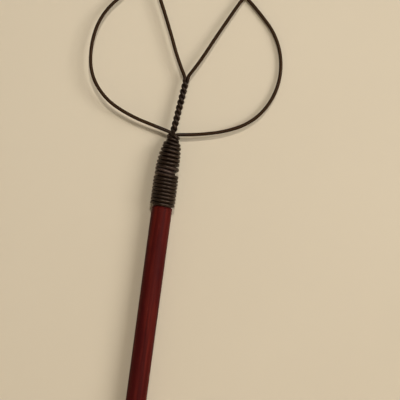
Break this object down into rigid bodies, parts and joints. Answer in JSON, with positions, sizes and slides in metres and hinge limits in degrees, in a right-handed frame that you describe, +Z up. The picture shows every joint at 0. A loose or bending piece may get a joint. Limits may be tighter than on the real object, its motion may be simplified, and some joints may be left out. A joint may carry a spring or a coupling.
{
  "type": "wire rug beater",
  "caption": "Wire rug beater: a straight painted wooden handle with a head of bent wire loops, twisted into a neck and wound tightly round the handle's nose.",
  "frame": {"origin": "the inside of the top arch of the inner loop, on the handle's axis, where a peg or hook holds the beater up", "axes": "+Z up along the handle's axis towards the head, +X to the right and -Y towards a person who faces the front; the head lies in the XZ plane"},
  "size_m": [0.21, 0.0272, 0.6913],
  "materials": {
    "painted_wood": "worn dark red paint on turned wood, satin",
    "dark_wire": "drawn steel wire, dark brown oxide, dull sheen"
  },
  "bodies": {
    "root": {"crossing_end": "dark_wire", "crossover_turn": "dark_wire", "handle": "painted_wood", "hoop_tail_left": "dark_wire", "hoop_tail_right": "dark_wire", "inner_loop": "dark_wire", "lower_winding": "dark_wire", "neck_collar": "dark_wire", "neck_collar_second": "dark_wire", "neck_leg": "dark_wire", "neck_strand_back": "dark_wire", "neck_strand_front": "dark_wire", "outer_hoop": "dark_wire", "upper_winding": "dark_wire"}
  },
  "joints": []
}
